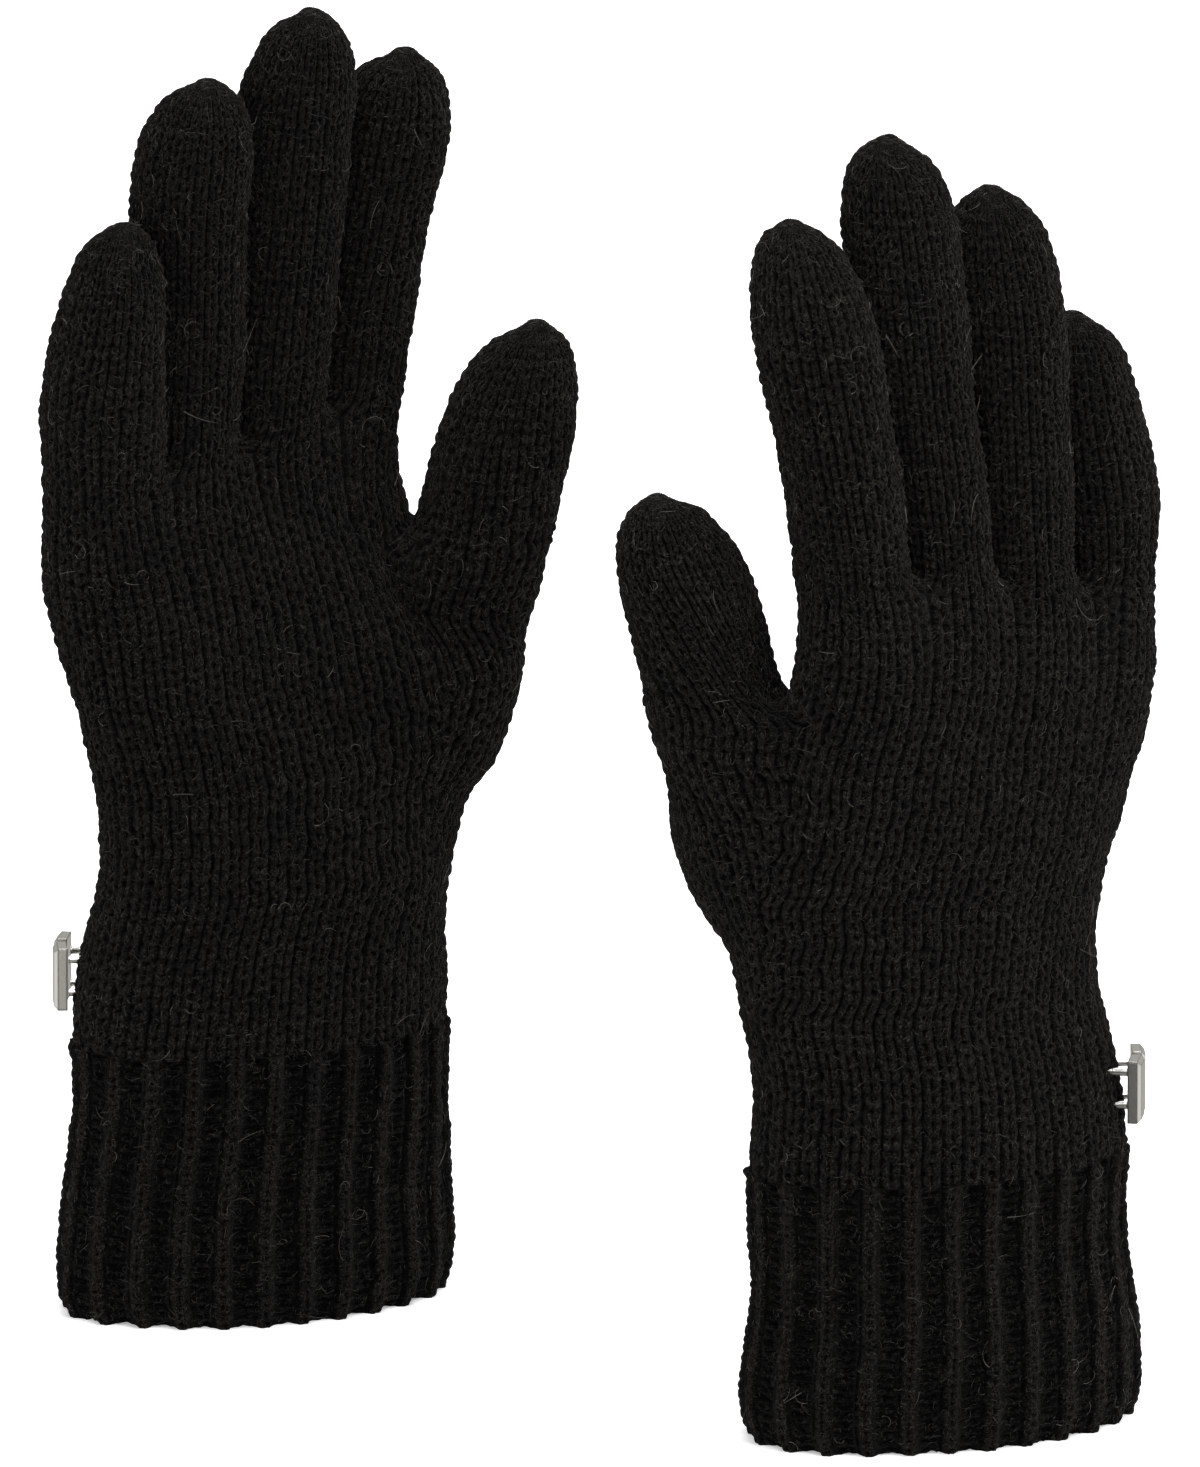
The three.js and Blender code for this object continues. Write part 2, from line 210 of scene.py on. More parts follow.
# Loose hairs
FUZZ_PER_STITCH = 6
FUZZ_LENGTH = 1.3
FUZZ_RADII = (0.028, 0.045)
CURLS_PER_STITCH = 0.09
CURL_LENGTH = 4.2
CURL_RADII = (0.03, 0.045)
HAIR_STEPS = 6
HAIR_SIDES = 3
HAIR_ROOT = 0.25  # how deep a hair starts in the fabric
FLOOR_CLEARANCE = 0.1  # of the middle of a hair that lies on the floor

# The studio, in metres
ROOM_LIGHT = 0.7  # of the white room, as the gloves see it
FLOOR_REACH = 12
CAMERA_DISTANCE = 12.0
CAMERA_ELEVATION = math.radians(15)
CAMERA_AIM = (0.0005, 0, 0.12604)
FRAME_HEIGHT = 0.28446  # what the camera sees, at its aim
LIGHTS_AIM = (0, 0, 0.13)

HALF_TURN = np.array([-1.0, -1.0, 1.0])
# The body that a finger moves with, and the CAD's nodes that each piece stands in for
BODY_OF = {name: f"{name}_body" for name in PIECES if name not in ("cuff", "hand")}
NODES_OF = {
    "cuff": ["cuff_edge", "cuff_rib"],
    "hand": ["hand_shell"],
    "thumb": ["thumb", "thumb_touch_tip"],
    "index": ["index_finger", "index_touch_tip"],
    "middle": ["middle_finger"],
    "ring": ["ring_finger"],
    "little": ["little_finger"],
}


def finger_wales():
    """The wales round each finger, with None for the ones that start between two fingers."""
    a, b, c = FORK_WALES
    extra = [None] * (FOURCHETTE - 1)
    return {
        "little": [*range(WALES - a, WALES), *range(a + 1), *extra],
        "ring": [*range(a, b + 1), *extra, *range(WALES - b, WALES - a + 1), *extra],
        "middle": [*range(b, c + 1), *extra, *range(WALES - c, WALES - b + 1), *extra],
        "index": [*range(c, WALES - c + 1), *extra],
    }


def finger_starts():
    """For each finger, a far point in plan and which of its wales is turned to that point."""
    a, b, c = FORK_WALES
    far = 60
    across = math.radians(FINGER_OUTLINES["middle"][0][5])
    to_index = far * np.array([math.cos(across), math.sin(across)])
    to_palm = far * np.array([math.sin(across), -math.cos(across)])
    return {
        "little": (-to_index, a),
        "ring": (to_palm, (b - a) / 2),
        "middle": (to_palm, (c - b) / 2),
        "index": (to_index, WALES / 2 - c),
    }


def glove_origin():
    """The middle of the first glove's wrist at the floor. The second is the same, half turned."""
    low, high = (np.array(corner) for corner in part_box("glove_a_cuff_edge"))
    middle = (low + high) / 2 / MM
    return np.array([middle[0] + CUFF_OFFSET, middle[1], low[2] / MM])


FINGER_WALES = finger_wales()
FINGER_START = finger_starts()
ORIGIN = glove_origin()


def outline_at(outlines, height):
    """The outline at a height, blended smoothly between the listed ones."""
    rows = np.array(outlines, float)
    heights = rows[:, 0]
    height = min(max(height, heights[0]), heights[-1])
    slopes = np.gradient(rows[:, 1:], heights, axis=0)
    k = min(int(np.searchsorted(heights, height, side="right")) - 1, len(rows) - 2)
    span = heights[k + 1] - heights[k]
    t = (height - heights[k]) / span
    low, high = rows[k, 1:], rows[k + 1, 1:]
    rise = slopes[k] * span
    fall = slopes[k + 1] * span
    smooth = (2 * t**3 - 3 * t**2 + 1) * low + (-2 * t**3 + 3 * t**2) * high
    return smooth + (t**3 - 2 * t**2 + t) * rise + (t**3 - t**2) * fall


def outline_points(outline, count=240):
    """Points round an outline, from the little-finger side across the palm."""
    x, y, wide, thick, turn, square = outline
    angle = np.linspace(0, 2 * np.pi, count, endpoint=False)
    power = 2 / square
    across = -wide * np.sign(np.cos(angle)) * np.abs(np.cos(angle)) ** power
    through = thick * np.sign(np.sin(angle)) * np.abs(np.sin(angle)) ** power
    turn = math.radians(turn)
    u = np.array([math.cos(turn), math.sin(turn)])
    palm = np.array([math.sin(turn), -math.cos(turn)])
    return np.array([x, y]) + across[:, None] * u + through[:, None] * palm


def turns_left(a, b, c):
    return (b[0] - a[0]) * (c[1] - a[1]) - (b[1] - a[1]) * (c[0] - a[0]) > 0


def hull_of(points):
    """The convex outline of points in the plane, anticlockwise, as a dense row of points."""
    order = sorted(points.tolist())
    halves = []
    for row in (order, order[::-1]):
        half = []
        for p in row:
            while len(half) > 1 and not turns_left(half[-2], half[-1], p):
                half.pop()
            half.append(p)
        halves.append(half[:-1])
    hull = np.array(halves[0] + halves[1])
    return spaced(hull, 480, hull[0])


def along_path(path, shares):
    """Points at the given shares of the way along a path."""
    length = np.concatenate([[0], np.cumsum(np.linalg.norm(np.diff(path, axis=0), axis=1))])
    wanted = shares * length[-1]
    return np.column_stack([np.interp(wanted, length, path[:, axis]) for axis in (0, 1)])


def nearest(points, place):
    return int(np.argmin(((points - place) ** 2).sum(1)))


def spaced(points, count, start, place=0):
    """A closed row of evenly spaced points round a closed outline.

    The point at the given place in the row is the one nearest to a start.
    """
    loop = np.roll(points, -nearest(points, start), axis=0)
    shares = (np.arange(count) - place) % count / count
    return along_path(np.vstack([loop, loop[:1]]), shares)


def with_height(points, height):
    return np.column_stack([points, np.broadcast_to(height, len(points))])


class Net:
    """A growing net of stitches: where each corner wants to be, and the quads between corners."""

    def __init__(self):
        self.corners = []
        self.pull = []
        self.quads = []
        self.info = []

    def add(self, points, pull):
        first = len(self.corners)
        self.corners.extend(np.asarray(points, float))
        self.pull.extend([pull] * len(points))
        return list(range(first, first + len(points)))

    def stitch(self, corners, *info):
        self.quads.append(corners)
        self.info.append(info)

    def join(self, lower, upper, piece, course, rib=False, touch=False, starts=()):
        """One course of stitches between two closed rows. New wales start at some lower corners."""
        count = len(lower)
        shift = 0
        for wale in range(count):
            info = piece, wale, course, rib, touch
            if wale in starts:
                self.stitch((lower[wale], upper[wale + shift + 1], upper[wale + shift]), *info)
                shift += 1
            here, after = (wale + shift) % len(upper), (wale + shift + 1) % len(upper)
            self.stitch((lower[wale], lower[(wale + 1) % count], upper[after], upper[here]), *info)


def hand_ring(height):
    outline = outline_at(HAND_OUTLINES if height > CUFF_OUTLINES[-1][0] else CUFF_OUTLINES, height)
    points = outline_points(outline)
    return spaced(points, WALES, points[0])


def path_between(loop, start, end, count):
    """Evenly spaced points along a closed loop, anticlockwise from one place to another."""
    first, last = nearest(loop, start), nearest(loop, end)
    path = np.roll(loop, -first, axis=0)[:(last - first) % len(loop) + 1]
    return along_path(np.vstack([[start], path, [end]]), np.linspace(0, 1, count))


def thumb_side_ring(height, extra):
    """The hand's ring with the thumb's root: a smooth bulge low down, a crease higher up."""
    ring = hand_ring(height)
    first, last = THUMB_WALES
    thumb = outline_points(outline_at(THUMB_OUTLINES, height))
    hand = outline_points(outline_at(HAND_OUTLINES, height))
    smooth = spaced(hull_of(np.vstack([hand, thumb])), WALES + extra, ring[0])
    outer = hull_of(np.vstack([ring[first:last + 1], thumb]))
    gusset = path_between(outer, ring[first], ring[last], last - first + 1 + extra)
    inward = CREASE_AIM * thumb.mean(axis=0) + (1 - CREASE_AIM) * ring.mean(axis=0)
    for end, star in ((0, first), (-1, last)):
        towards = inward - ring[star]
        gusset[end] += CREASE_DEPTH * towards / np.linalg.norm(towards)
    creased = np.vstack([ring[:first], gusset, ring[last + 1:]])
    return smooth + crease_at(height) * (creased - smooth)


def crease_at(height):
    """How far the crease beside the thumb has formed, from 0 to 1."""
    low, high = THUMB_CREASE
    t = np.clip((height - low) / (high - low), 0, 1)
    return t * t * (3 - 2 * t)


def ring_through(heights, stack):
    """A row of corners whose heights differ, from a stack of level rows."""
    levels, rings = stack
    place = (heights - levels[0]) / (levels[1] - levels[0])
    low = np.clip(place.astype(int), 0, len(levels) - 2)
    t = (place - low)[:, None]
    wale = np.arange(len(heights))
    return with_height(rings[low, wale] * (1 - t) + rings[low + 1, wale] * t, heights)


def tube_heights(outlines, base):
    """Heights of a finger's courses: evenly spaced along its skin, from its root over its dome."""
    fine = np.linspace(base, outlines[-1][0], 200)
    rows = np.array([outline_at(outlines, z) for z in fine])
    radius = rows[:, 2:4].mean(1)
    steps = np.hypot(np.diff(fine), np.diff(radius))
    length = np.concatenate([[0], np.cumsum(steps)])
    courses = max(3, round(length[-1] / COURSE))
    return np.interp(np.linspace(0, length[-1], courses + 1)[1:], length, fine)


def finger_row(piece, height, count):
    """A finger's row of corners at a height, in the order of its ring of wales."""
    outline = outline_at(FINGER_OUTLINES[piece], height)
    towards, place = FINGER_START[piece]
    return spaced(outline_points(outline), count, outline[:2] + towards, place)


def thumb_row(height, places, settled):
    """A row of the thumb: its corners start above the lower ones and become evenly spaced."""
    x, y, wide, thick, turn, _ = outline_at(THUMB_OUTLINES, height)
    even = THUMB_START + np.linspace(0, 2 * np.pi, len(places), endpoint=False)
    angle = places + settled * (even - places)
    turned = angle - math.radians(turn)
    radius = 1 / np.hypot(np.cos(turned) / wide, np.sin(turned) / thick)
    return np.column_stack([x + radius * np.cos(angle), y + radius * np.sin(angle)])


def thumb_places(base):
    """The directions of the corners that the thumb grows from, as seen from its axis."""
    centre = outline_at(THUMB_OUTLINES, base[:, 2].mean())[:2]
    around = base[:, :2] - centre
    angle = np.unwrap(np.arctan2(around[:, 1], around[:, 0]))
    angle += 2 * np.pi * round((THUMB_START - angle[0]) / (2 * np.pi))
    return np.maximum.accumulate(angle)


def add_tube(net, piece, outlines, ring, touch_length, loose):
    """Rows of stitches from a closed ring of corners up to a fingertip, which is drawn together."""
    base = np.array([net.corners[k] for k in ring])
    places = thumb_places(base) if piece == "thumb" else None
    low = base[:, 2].mean()
    top = outlines[-1][0]
    lower = ring
    for course, height in enumerate(tube_heights(outlines, low)):
        settled = min(1.0, (height - low) / SETTLING)
        slant = (base[:, 2] - low) * (1 - settled)
        pull = loose + (ROW_PULL - loose) * settled
        if piece == "thumb":
            row = thumb_row(height, places, min(1.0, (height - low) / THUMB_SETTLING))
        else:
            row = finger_row(piece, height, len(ring))
        upper = net.add(with_height(row, height + slant), pull)
        net.join(lower, upper, piece, course, touch=top - height < touch_length)
        lower = upper
    tip = with_height(np.array([outline_at(outlines, top)[:2]]), top + TIP_LIFT)
    pole = net.add(tip, ROW_PULL)[0]
    for wale in range(len(lower)):
        corners = lower[wale], lower[(wale + 1) % len(lower)], pole
        net.stitch(corners, piece, wale, TIP_COURSE, False, touch_length > 0)


def finger_root_ring():
    """Where the hand's last course would stand if it wrapped the roots of the four fingers."""
    places = [[] for _ in range(WALES)]
    for piece, wales in FINGER_WALES.items():
        row = finger_row(piece, FINGER_OUTLINES[piece][0][0], len(wales))
        for wale, point in zip(wales, row):
            if wale is not None:
                places[wale].append(point)
    return np.array([np.mean(points, axis=0) for points in places])


def wale_places(extra):
    """The number of each wale round the hand. Extra wales at the thumb share the numbers there."""
    first, last = THUMB_WALES
    gusset = np.linspace(first, last, last - first + extra + 1)
    return np.concatenate([np.arange(first), gusset, np.arange(last + 1, WALES)])


def fork_height(wale):
    """How high the hand reaches between the fingers: lower on the little finger's side."""
    low, high = FORK_HEIGHTS
    return low + (high - low) * (1 - np.cos(2 * np.pi * wale / WALES)) / 2


def add_cuff(net):
    """The cuff's courses. Returns their last row of corners."""
    rows = []
    cuff_top = CUFF_OUTLINES[-1][0]
    for course in range(CUFF_COURSES + 1):
        height = cuff_top * course / CUFF_COURSES
        rows.append(net.add(with_height(hand_ring(height), height), ROW_PULL))
    for course in range(CUFF_COURSES):
        net.join(rows[course], rows[course + 1], "cuff", course, rib=True)
    return rows[-1]


def draw_to_fingers(points, wale, roots, course, extra):
    """Near the forks, a row of the hand takes the shape of the fingers' roots."""
    first, last = THUMB_WALES
    on_back = np.clip((wale - last) / 5, 0, 1)
    reach = PALM_COURSES + (KNUCKLE_COURSES - PALM_COURSES) * on_back
    near_fork = np.clip(1 - (HAND_COURSES - course) / reach, 0, 1)[:, None] ** 1.5
    beside_thumb = np.abs(wale - (first + last) / 2) - (last - first) / 2
    own = np.clip(beside_thumb, 0, 1)[:, None] if extra else 1.0
    wanted = np.array([np.interp(wale, np.arange(WALES), roots[:, axis]) for axis in (0, 1)]).T
    points[:, :2] += own * near_fork * (wanted - points[:, :2])


def firm_crease(net, row, height, extra):
    """The corners of a row hold more firmly where the thumb's crease runs."""
    first, last = THUMB_WALES
    for star in (first, last + extra):
        away = (np.arange(len(row)) - star) / CREASE_PULL_WALES
        firm = crease_at(height[star]) * np.exp(-(away**2))
        for corner, more in zip(row, firm):
            net.pull[corner] += CREASE_PULL * more


def leave_thumb(net, ring, height, extra, level):
    """Splits the thumb's opening off the hand, with a chain of new corners along the web.

    Returns the hand's ring above the opening, the thumb's ring, and the heights of the hand's ring.
    """
    first, last = THUMB_WALES
    kept = [*range(first + 1), *range(last + extra, WALES + extra)]
    lift = np.zeros(WALES)
    lift[first:last + 1] = WEB_RISE * np.sin(np.pi * np.linspace(0, 1, last - first + 1))
    known = [k if k <= first else k - extra for k in kept]
    above = np.interp(np.arange(WALES), known, height[kept]) + lift
    chain = net.add(ring_through(above, level)[first + 1:last], ROW_PULL)
    thumb_ring = ring[first:last + extra + 1] + chain[::-1]
    return ring[:first + 1] + chain + ring[last + extra:], thumb_ring, above


def add_hand(net, ring):
    """The hand's courses up to the forks. Returns the hand's last ring and the thumb's ring."""
    first, last = THUMB_WALES
    base, done, extra = CUFF_OUTLINES[-1][0], 0, 0
    levels = np.arange(base, FORK_HEIGHTS[1] + LEVEL_STEP, LEVEL_STEP)
    level = levels, np.array([hand_ring(z) for z in levels])
    roots = finger_root_ring()
    for course in range(1, HAND_COURSES + 1):
        starts = ()
        if course in GUSSET_COURSES:
            starts = (first, last + extra)
            extra += 2
        wale = wale_places(extra)
        height = base + (fork_height(wale) - base) * (course - done) / (HAND_COURSES - done)
        if course <= THUMB_COURSE:
            low, high = height.min() - LEVEL_STEP, height.max() + 2 * LEVEL_STEP
            reached = np.arange(low, high, LEVEL_STEP)
            with_thumb = reached, np.array([thumb_side_ring(z, extra) for z in reached])
            points = ring_through(height, with_thumb)
        else:
            points = ring_through(height, level)
        draw_to_fingers(points, wale, roots, course, extra)
        upper = net.add(points, ROW_PULL)
        if course <= THUMB_COURSE:
            firm_crease(net, upper, height, extra)
        net.join(ring, upper, "hand", course, starts=starts)
        ring = upper
        if course == THUMB_COURSE:
            ring, thumb_ring, base = leave_thumb(net, ring, height, extra, level)
            done, extra = course, 0
    return ring, thumb_ring


def build_net():
    net = Net()
    ring, thumb_ring = add_hand(net, add_cuff(net))
    add_tube(net, "thumb", THUMB_OUTLINES, thumb_ring, TOUCH_LENGTH, THUMB_ROOT_PULL)
    add_fingers(net, ring)
    return net


def add_fingers(net, ring):
    """Splits the ring at the forks, with extra wales between the fingers."""
    chains = []
    for wale in FORK_WALES:
        palm, back = (np.array(net.corners[ring[k]]) for k in (wale, WALES - wale))
        t = np.linspace(0, 1, FOURCHETTE + 1)[1:-1, None]
        chains.append(net.add(palm * (1 - t) + back * t, FOURCHETTE_PULL))
    between = {"little": [chains[0]], "ring": [chains[1], chains[0][::-1]],
               "middle": [chains[2], chains[1][::-1]], "index": [chains[2][::-1]]}
    for name, wales in FINGER_WALES.items():
        waiting = [corner for chain in between[name] for corner in chain]
        finger_ring = [ring[wale] if wale is not None else waiting.pop(0) for wale in wales]
        touch_length = TOUCH_LENGTH if name == "index" else 0
        add_tube(net, name, FINGER_OUTLINES[name], finger_ring, touch_length, FINGER_ROOT_PULL)


def relax(net):
    """Lets the net settle: each corner goes towards the middle of its neighbours and is pulled
    back to its own place. The cuff's lowest row doesn't move.
    """
    target = np.array(net.corners)
    pull = np.array(net.pull)[:, None]
    edges = set()
    for quad in net.quads:
        for a, b in zip(quad, quad[1:] + quad[:1]):
            edges.add((min(a, b), max(a, b)))
    a, b = np.array(sorted(edges)).T
    count = np.bincount(np.concatenate([a, b]), minlength=len(target))[:, None]
    rim = np.arange(WALES)
    here = target.copy()
    for _ in range(SETTLING_ROUNDS):
        total = np.zeros_like(here)
        np.add.at(total, a, here[b])
        np.add.at(total, b, here[a])
        here += SETTLING_STEP * (total / count - here)
        here += pull * (target - here)
        here[rim] = target[rim]
    return here


def coarse_mesh(net, corners):
    """The net as a Blender mesh, with each stitch's own square as its UV map."""
    mesh = bpy.data.meshes.new("net")
    mesh.from_pydata([tuple(p) for p in corners], [], net.quads)
    uv = mesh.uv_layers.new(name="stitch")
    square = [(0, 0), (1, 0), (1, 1), (0, 1)]
    new_wale = [(0.5, 0), (1, 1), (0, 1)]
    last_stitch = [(0, 0), (1, 0), (0.5, 1)]
    for polygon in mesh.polygons:
        shape = square
        if polygon.loop_total == 3:
            shape = last_stitch if net.info[polygon.index][2] == TIP_COURSE else new_wale
        for place, loop in zip(shape, polygon.loop_indices):
            uv.data[loop].uv = place
    pieces, *columns = zip(*net.info)
    columns.append([PIECES.index(piece) for piece in pieces])
    for name, values in zip(Fine.INFO, columns):
        store(mesh, name, "INT", [int(v) for v in values], "FACE")
    return mesh


def subdivided(mesh, levels):
    """A copy of the mesh, subdivided smoothly."""
    holder = add_object("holder", mesh)
    modifier = holder.modifiers.new("smooth", "SUBSURF")
    modifier.levels = levels
    modifier.uv_smooth = "NONE"
    modifier.boundary_smooth = "ALL"
    evaluated = holder.evaluated_get(bpy.context.evaluated_depsgraph_get())
    fine = bpy.data.meshes.new_from_object(evaluated)
    bpy.data.objects.remove(holder)
    return fine


def add_object(name, data, *materials):
    obj = bpy.data.objects.new(name, data)
    bpy.context.scene.collection.objects.link(obj)
    for material in materials:
        data.materials.append(material)
    return obj


def store(mesh, name, kind, values, domain="POINT"):
    """Writes one value, or one vector, for each point or face of a mesh."""
    layer = mesh.attributes.new(name, kind, domain)
    if kind == "FLOAT_VECTOR":
        layer.data.foreach_set("vector", values.astype(np.float32).ravel())
    else:
        layer.data.foreach_set("value", values)


def read_array(collection, name, kind, width=1):
    values = np.empty(len(collection) * width, kind)
    collection.foreach_get(name, values)
    return values.reshape(-1, width) if width > 1 else values


class Fine:
    """A subdivided net as arrays, with each corner's place in its stitch."""

    INFO = ("wale", "course", "rib", "touch", "piece")

    def __init__(self, mesh):
        self.points = read_array(mesh.vertices, "co", np.float32, 3).astype(float)
        self.normals = read_array(mesh.vertices, "normal", np.float32, 3).astype(float)
        loops = read_array(mesh.loops, "vertex_index", np.int32)
        self.faces = loops.reshape(-1, 4)
        uv = read_array(mesh.uv_layers["stitch"].data, "uv", np.float32, 2)
        self.place = np.zeros((len(self.points), 2))
        self.place[loops] = uv
        self.info = {}
        for name in self.INFO:
            self.info[name] = read_array(mesh.attributes[name].data, "value", np.int32)
        self.face_of = np.zeros(len(self.points), int)
        self.face_of[loops] = np.repeat(np.arange(len(self.faces)), 4)


def leg_height(s, t):
    """Height of a knitted V at a place in its stitch, 0 in the gaps and 1 on the crest of a leg.

    s runs across the wale and t up the course. Each leg starts near the middle, under the stitch
    below, and leans out over more than one course, so up to three stitches reach a place.
    Also returns how far along that leg and across it the place is.
    """
    side = np.where(s < 0.5, -1.0, 1.0)
    length = np.hypot(*LEG_REACH)
    best, along_best, across_best = np.zeros((3, len(s)))
    for shift in (-1, 0, 1):
        x = ((s - 0.5) * side - LEG_START[0]) * STITCH[0]
        y = (t - LEG_START[1] - shift) * STITCH[1]
        along = (x * LEG_REACH[0] + y * LEG_REACH[1]) / length**2
        away = (x * LEG_REACH[1] - y * LEG_REACH[0]) / length
        width = LEG_RADIUS * np.sqrt(np.clip(1 - np.abs(2 * along - 1) ** 2.6, 0, 1)) + 1e-6
        round_top = np.sqrt(np.clip(1 - (away / width) ** 2, 0, 1))
        lift = 0.56 + 0.44 * np.sin(np.pi * np.clip(along, 0, 1)) - 0.14 * along
        height = np.where((along > 0) & (along < 1), round_top * lift, 0)
        along_best = np.where(height > best, along + 1.7 * shift, along_best)
        across_best = np.where(height > best, away / width * side, across_best)
        best = np.maximum(best, height)
    return best, along_best, across_best


def purl_height(s, t):
    """Height of the bumps of a purl stitch, which lie across the wale."""
    arch = 0.12 * np.cos(2 * np.pi * (s - 0.5))
    wave = np.cos(2 * np.pi * (t + arch))
    return np.clip(0.5 + 0.5 * wave, 0, 1) ** 0.7


def relief(fine, seed):
    """How far each corner stands out of the fabric, how high it is on its yarn, and where on it:
    along the yarn and across it, in millimetres, and a number for the stitch.
    """
    points, face = fine.points, fine.face_of
    s, t = fine.place.T
    s = s + 0.05 * smooth_noise(points, 3.4, seed + 5)
    t = t + 0.09 * smooth_noise(points, 3.9, seed + 6)
    wales, courses = fine.info["wale"][face], fine.info["course"][face]
    rib = fine.info["rib"][face] == 1
    purl = rib & (wales % 2 == 1)
    swell = 1 - np.abs(2 * s - 1) ** 2
    narrow = np.where(rib, 0.5 + (s - 0.5) / RIDGE_WIDTH, s)
    legs, along, across = leg_height(narrow, t)
    legs = np.where(rib, legs * np.clip(8 - 16 * np.abs(narrow - 0.5), 0, 1), legs)
    bumps = purl_height(s, t + 0.2 * smooth_noise(points, 1.9, seed + 7))
    bumps = np.clip(bumps * (1 + 0.45 * smooth_noise(points, 1.5, seed + 8)), 0, 1.3)
    from_cuff_top = np.abs(courses + t - np.where(rib, CUFF_COURSES, 1.0))
    bumpy = np.exp(-((from_cuff_top / 1.3) ** 2)) * smooth_noise(points, 3.3, seed + 9)
    plain = LEG_RELIEF * (legs - 0.55)
    knit_rib = 0.9 * legs - 0.5 + RIB_RELIEF * (0.12 + 0.42 * swell)
    purl_rib = 0.45 * bumps * (1 - np.abs(2 * s - 1) ** 4) - RIB_RELIEF * (0.14 + 0.42 * swell)
    out = np.where(rib, np.where(purl, purl_rib, knit_rib), plain) + 0.35 * bumpy
    # How high each corner is on its yarn. The wool material paints shade with it: the lower, the
    # darker.
    purl_depth = 0.1 + 0.5 * bumps - 0.15 * swell
    depth = np.where(rib, np.where(purl, purl_depth, 0.14 + 0.92 * legs), legs)
    length = np.where(purl, s * 3.4, along * 3.2)
    width = np.where(purl, t * 2, across * 0.9)
    return out, np.clip(depth, 0, 1), np.column_stack([length, width, wales * 7.3 + courses * 3.1])


def smooth_noise(points, size, seed):
    """Gentle random waves through space, between about -1 and 1."""
    draw = np.random.default_rng(seed)
    total = np.zeros(len(points))
    waves = 7
    for _ in range(waves):
        direction = draw.normal(size=3)
        direction /= np.linalg.norm(direction)
        phase = points @ direction * (2 * np.pi / size) * draw.uniform(0.7, 1.4)
        total += np.sin(phase + draw.uniform(0, 6.3))
    return total / waves**0.5


def fingertip(outlines):
    """The middle of a finger's last row."""
    top = outlines[-1][0]
    return np.array([*outline_at(outlines, top)[:2], top])


def shaped(fine, seed):
    """The corners of the fine mesh, raised into stitches with the unevenness of real knit."""
    out, depth, yarn = relief(fine, seed)
    points = fine.points
    tight = np.clip(cell_size(fine)[fine.face_of] / FULL_RELIEF_CELL, 0.25, 1)
    wobble = 0.16 * smooth_noise(points, 9, seed) + 0.5 * smooth_noise(points, 38, seed + 1)
    lumps = 0.1 * smooth_noise(points, 3.1, seed + 2)
    badge = np.linalg.norm((points - BADGE_PLACE) / BADGE_SPREAD, axis=1)
    rise = BADGE_RISE * np.exp(-badge**2)
    for outlines in (THUMB_OUTLINES, *FINGER_OUTLINES.values()):
        away = np.linalg.norm(points - fingertip(outlines), axis=1)
        rise += TIP_RISE * np.exp(-((away / TIP_SPREAD) ** 2))
    raised = points + fine.normals * (out * tight + wobble + lumps + rise)[:, None]
    raised[:, 2] = np.maximum(raised[:, 2], 0)  # the cuff rests on the floor
    return raised, depth, yarn


def cell_size(fine):
    """The shorter side of each face."""
    corners = fine.points[fine.faces]
    across = np.linalg.norm(corners[:, 1] - corners[:, 0], axis=1)
    up = np.linalg.norm(corners[:, 3] - corners[:, 0], axis=1)
    return np.minimum(across, up)


def placed(points, turn):
    """Points of the drawn glove, in metres where one of the two gloves stands."""
    return (points * turn + ORIGIN * turn) * MM


def share_of(net, number):
    """The corners that one piece uses, and its faces as numbers in that list."""
    used, faces = np.unique(net.faces[net.info["piece"] == number], return_inverse=True)
    return used, faces.reshape(-1, 4)


def build_piece(name, fabric, lining, turn):
    """One closed piece of fabric: its outside stitches, a plain lining and the edges between.

    The fabric is the fine mesh, with what shaped() gives for it.
    """
    fine, raised, depth, yarn = fabric
    used, faces = share_of(fine, PIECES.index(name))
    inner_used, inner_faces = share_of(lining, PIECES.index(name))
    inside = (lining.points - WALL * lining.normals)[inner_used]
    points = placed(np.vstack([raised[used], inside]), turn)
    mesh = bpy.data.meshes.new(name)
    mesh.from_pydata(points, [], np.vstack([faces, inner_faces[:, ::-1] + len(used)]).tolist())
    touch = fine.info["touch"][fine.face_of[used]].astype(float)
    # The lining gets a low relief of 0.3, so the wool material paints it with the dark shade of the
    # gaps. It is a dark backing where the inside of the glove lies in shade.
    store(mesh, "relief", "FLOAT", np.concatenate([depth[used], np.full(len(inside), 0.3)]))
    store(mesh, "yarn", "FLOAT_VECTOR", np.vstack([yarn[used], inside]))
    store(mesh, "touch", "FLOAT", np.concatenate([touch, np.zeros(len(inside))]))
    close_edges(mesh)
    mesh.shade_smooth()
    return mesh


def close_edges(mesh):
    """Joins each open edge of the outside to the nearest open edge of the lining."""
    work = bmesh.new()
    work.from_mesh(mesh)
    loops = open_loops(work)
    ends = [[v.co for e in loop for v in e.verts] for loop in loops]
    middles = [sum(places, Vector()) / len(places) for places in ends]
    left = set(range(len(loops)))
    while len(left) > 1:
        a = min(left)
        b = min(left - {a}, key=lambda k: (middles[k] - middles[a]).length)
        made = bmesh.ops.bridge_loops(work, edges=loops[a] + loops[b])
        for face in made["faces"]:
            for edge in face.edges:
                if edge.is_manifold and edge.calc_face_angle(0) > 0.9:
                    edge.smooth = False
        left -= {a, b}
    work.to_mesh(mesh)
    work.free()


def open_loops(work):
    """The mesh's open edges, gathered into loops."""
    waiting = dict.fromkeys(e for e in work.edges if e.is_boundary)
    loops = []
    while waiting:
        edge = waiting.popitem()[0]
        loop = [edge]
        ends = list(edge.verts)
        while ends:
            vertex = ends.pop()
            for following in vertex.link_edges:
                if following in waiting:
                    del waiting[following]
                    loop.append(following)
                    ends.append(following.other_vert(vertex))
        loops.append(loop)
    return loops


# Materials

